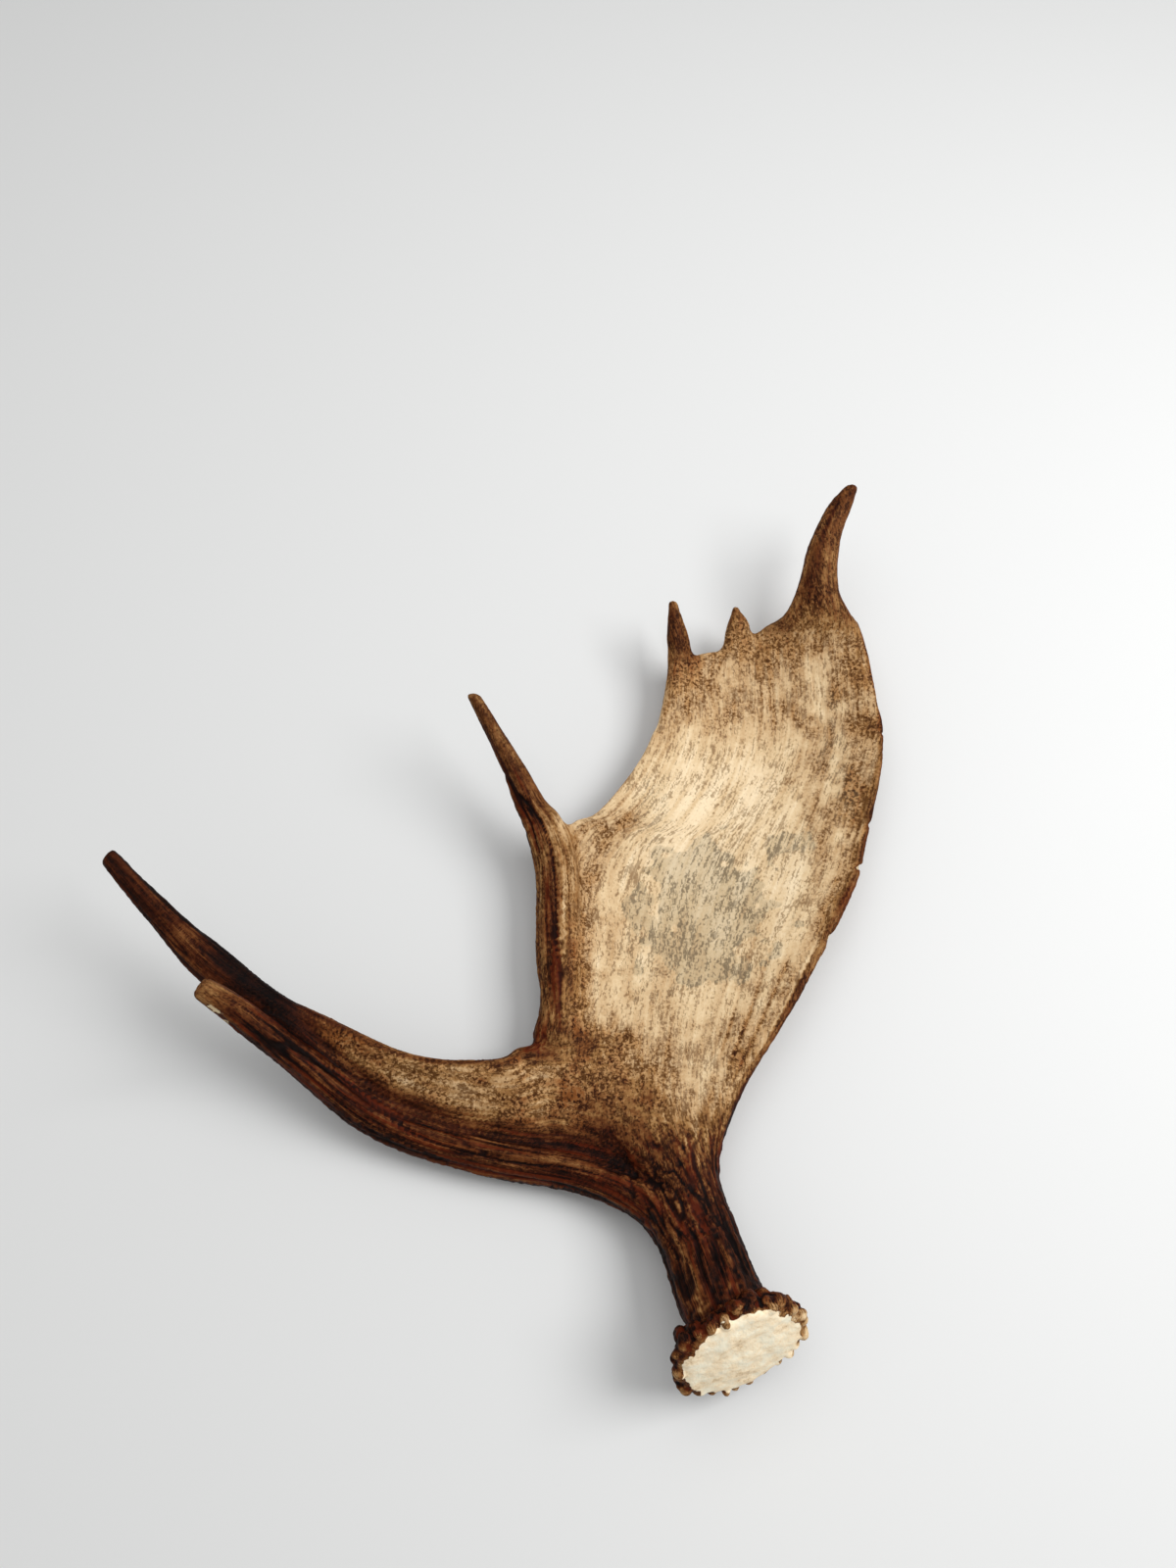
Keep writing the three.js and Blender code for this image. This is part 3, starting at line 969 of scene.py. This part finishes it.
FACE_STOPS = (
    (0.0, linear(168, 134, 96)),
    (0.25, linear(228, 202, 164)),
    (0.5, linear(254, 232, 196)),
    (1.0, linear(255, 246, 220)),
)
ASH = (*linear(150, 137, 110), 1)
ASH_FLECK = (*linear(96, 88, 72), 1)
RUST = (*linear(98, 34, 10), 1)
GROOVE = (*linear(12, 5, 4), 1)
FRESH_BONE = (*linear(226, 204, 164), 1)

# Streaks of the finish: width and length in millimetres, octaves and roughness.
DASHES = (1.4, 9.0, 3.0, 0.75)
THREADS = (1.3, 30.0, 2.0, 0.6)
HAIRS = (0.8, 40.0, 2.0, 0.6)
# Even noise of the finish: waves per metre, octaves and roughness.
CLOUDS = (45.0, 4.0, 0.62)
FACE_CLOUDS = (110.0, 4.0, 0.68)
MOTTLE = (150.0, 4.0, 0.75)
RAGGED_EDGE = (380.0, 3.0, 0.6)
GRIT = (460.0, 3.0, 0.7)
SPECKS = (520.0, 2.0, 0.6)
FACE_DOTS = (900.0, 2.0, 0.6)
PITS = (1000.0, 2.0, 0.6)
BUMP_STRENGTH = 0.55
BUMP_HEIGHT = 0.0007
SHEEN = 0.06


def bone_finish(name):
    """Antler bone: a tone picks a colour from cream to near black, under dark flecks and pale hairlines."""
    f = Finish(name)
    grain_a, grain_b = f.field("grain_a", 1), f.field("grain_b", 1)
    towards_b = f.field("grain_mix")
    where = f.node("ShaderNodeTexCoord", output="Object")

    def drawn_out(width, length, octaves, roughness):
        """Noise along the growth, from both sets of straightened coordinates."""
        scales = (1 / width, 1 / width, 1 / length)
        a = f.noise(f.stretched(grain_a, scales), 1.0, octaves, roughness)
        b = f.noise(f.stretched(grain_b, scales), 1.0, octaves, roughness)
        return f.between(towards_b, a, b)

    tone, furrow, cast, fresh = (f.field(key) for key in ("tone", "furrow", "cast", "fresh"))
    groove, crease, ash = f.field("groove"), f.field("crease"), f.field("ash")
    dashes, threads, hairs = drawn_out(*DASHES), drawn_out(*THREADS), drawn_out(*HAIRS)
    grit, specks = f.noise(where, *GRIT), f.noise(where, *SPECKS)
    clouds, mottle = f.noise(where, *CLOUDS), f.noise(where, *MOTTLE)
    midtone = tone.band(0.2, 0.4) * (1 - tone.band(0.6, 0.85))
    spotted = midtone * (1 - furrow.band(0.2, 0.4))
    unevenness = (clouds - 0.5) * (0.16 + 0.14 * tone.band(0.15, 0.5) + 0.3 * spotted)
    streaked = (threads - 0.5) * (0.16 + 0.5 * furrow)
    shade = (tone + unevenness + streaked + (specks - 0.5) * 0.16).clamped()
    body = f.node("ShaderNodeValToRGB", {"stops": BODY_STOPS}, {0: shade})
    fleck = f.node("ShaderNodeValToRGB", {"stops": FLECK_STOPS}, {0: shade})
    hairline = f.node("ShaderNodeValToRGB", {"stops": HAIRLINE_STOPS}, {0: shade})

    ragged = (f.noise(where, *RAGGED_EDGE) - 0.5) * 0.7 + (dashes - 0.5) * 1.3
    ashen = (ash + ragged * ash.band(0.05, 0.4)).band(0.2, 0.9) * ash.band(0.0, 0.9)
    body = f.mixed(ashen * 0.34, body, ASH)
    fleck = f.mixed(ashen * 0.75, fleck, ASH_FLECK)
    crowding = (clouds - 0.5) * 0.34 + midtone * 0.05 + ashen * 0.03
    dark_share = (dashes * 0.76 + specks * 0.24 + crowding).band(0.51, 0.59)
    dark_spots = (mottle * 0.75 + specks * 0.25 + (clouds - 0.5) * 0.3).band(0.5, 0.55) * spotted
    pale_share = (threads * 0.75 + dashes * 0.25 - (crease - 0.5) * 0.1).band(0.55, 0.64)
    pale_dots = (grit * 0.6 + clouds * 0.4).band(0.5, 0.56) * spotted
    bone = f.mixed(dark_share * (0.78 + 0.16 * midtone), body, fleck)
    bone = f.mixed(dark_spots * 0.9, bone, fleck)
    bone = f.mixed(pale_dots * 0.7, bone, hairline)
    bone = f.mixed(hairs.band(0.58, 0.66) * furrow * 0.55, bone, hairline)
    bone = f.mixed(pale_share * (0.22 + 0.38 * furrow), bone, hairline)
    rusty = (f.field("rust") + (threads - 0.5) * 1.5).band(0.6, 0.95) * tone.band(0.5, 0.72) * 0.55
    bone = f.mixed(rusty, bone, RUST)
    bone = f.mixed(groove.band(0.3, 0.8) * tone.band(0.45, 0.8) * 0.75, bone, GROOVE)

    face_place = (f.noise(where, *FACE_CLOUDS) * 2.4 + f.noise(where, *FACE_DOTS) * 0.5 - 0.8).clamped()
    face = f.node("ShaderNodeValToRGB", {"stops": FACE_STOPS}, {0: face_place})
    bone = f.mixed((cast + (specks - 0.5) * 0.8 * cast.band(0.0, 0.3)).band(0.3, 0.6), bone, face)
    broken = (fresh + (specks - 0.5) * fresh.band(0.0, 0.3)).band(0.3, 0.6)
    bone = f.mixed(broken * 0.8, bone, FRESH_BONE)

    height = threads * (0.3 + 0.7 * furrow) + dashes * 0.4 + f.noise(where, *PITS) * 0.3
    depth = {"Strength": BUMP_STRENGTH, "Distance": BUMP_HEIGHT, "Height": height}
    bump = f.node("ShaderNodeBump", {}, depth)
    gloss = 0.7 - 0.14 * tone.band(0.35, 0.8) + (clouds - 0.5) * 0.25
    f.set(Base_Color=bone, Roughness=gloss.clamped(), Normal=bump, Specular_IOR_Level=SHEEN)
    return f.material


FLOOR_GREY = (0.78, 0.785, 0.78, 1)


def floor_finish():
    """A plain pale sheet."""
    f = Finish("pale_floor")
    f.set(Base_Color=FLOOR_GREY, Roughness=0.6, Specular_IOR_Level=0.2)
    return f.material


# ------------------------------------------------------------------------------------------------ making
def antler():
    """All the pieces of the skin, riding on the root and standing for their solids; returns their shift.

    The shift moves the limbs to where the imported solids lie: left at the tine, far at the point, and down.
    """
    points, quads, normals, fields, growths = grown_skin()
    web_reach = limb_surface("web")[0][:, 0].min()
    point_reach = limb_surface("big_point")[0][:, 1].max()
    palm_back = limb_surface("trunk")[0][:, 2].min()
    palm_low, palm_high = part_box("main_palm")
    packed = np.array((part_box("upper_brow_tine")[0][0], palm_high[1], palm_low[2])) / MM
    shift = packed - np.array((web_reach, point_reach, palm_back))
    number = piece_numbers(points[quads].mean(1), growths, quads)
    finishes = {slot: bone_finish(slot) for slot in sorted({slot for _, _, slot in PIECES})}
    for index, (name, node, slot) in enumerate(PIECES):
        piece = skin_piece(name + "_skin", points, normals, fields, quads[number == index], shift)
        piece.data.materials.append(finishes[slot])
        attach(piece, "root")
        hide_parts(node)
        print(piece.name, "triangles", 2 * len(piece.data.polygons))
    return shift


FLOOR_HALF = 6.0  # m


def floor():
    """The pale floor that the antler lies on."""
    signs = ((-1, -1), (1, -1), (1, 1), (-1, 1))
    mesh = bpy.data.meshes.new("floor")
    mesh.from_pydata([(x * FLOOR_HALF, y * FLOOR_HALF, 0) for x, y in signs], [], [(0, 1, 2, 3)])
    sheet = bpy.data.objects.new("floor", mesh)
    bpy.context.scene.collection.objects.link(sheet)
    mesh.materials.append(floor_finish())


def area_light(name, place, size, power):
    """A square soft light that faces the middle of the floor."""
    lamp = bpy.data.lights.new(name, "AREA")
    lamp.size = size
    lamp.energy = power
    held = bpy.data.objects.new(name, lamp)
    bpy.context.scene.collection.objects.link(held)
    held.location = place
    x, y, z = place
    held.rotation_euler = (math.atan2(math.hypot(x, y), z), 0, math.atan2(y, x) + math.pi / 2)


# Place and width in metres, and power in watts.
SOFT_LIGHTS = {
    "key": ((1.1, 0.1, 1.3), 0.9, 18.5),
    "top": ((-0.2, 0.6, 1.8), 1.6, 9),
}
SURROUND = 0.4


def lights():
    """A large key from the right, a soft fill from above, and a pale surround."""
    for name, (place, size, power) in SOFT_LIGHTS.items():
        area_light(name, place, size, power)
    world = bpy.data.worlds.new("pale_surround")
    world.use_nodes = True
    world.node_tree.nodes["Background"].inputs["Color"].default_value = (1, 1, 1, 1)
    world.node_tree.nodes["Background"].inputs["Strength"].default_value = SURROUND
    bpy.context.scene.world = world
    bpy.context.scene.view_settings.view_transform = "Standard"


CAMERA_PITCH = math.radians(67)  # below level
CAMERA_DISTANCE = 0.81
CAMERA_TARGET = np.array((45.0, 97.0, 0.0))  # in the limbs' own millimetres
LENS = 26.5  # mm
SENSOR = 36
NEAREST = 0.05


def camera(shift):
    """Looks down on the antler from the side of the burr."""
    eye = bpy.data.cameras.new("camera")
    eye.lens = LENS
    eye.sensor_width = SENSOR
    eye.clip_start = NEAREST
    held = bpy.data.objects.new("camera", eye)
    bpy.context.scene.collection.objects.link(held)
    back = np.array((0, -math.cos(CAMERA_PITCH), math.sin(CAMERA_PITCH)))
    held.location = (CAMERA_TARGET + shift) * MM + back * CAMERA_DISTANCE
    held.rotation_euler = (math.pi / 2 - CAMERA_PITCH, 0, 0)
    bpy.context.scene.camera = held


shift = antler()
floor()
lights()
camera(shift)
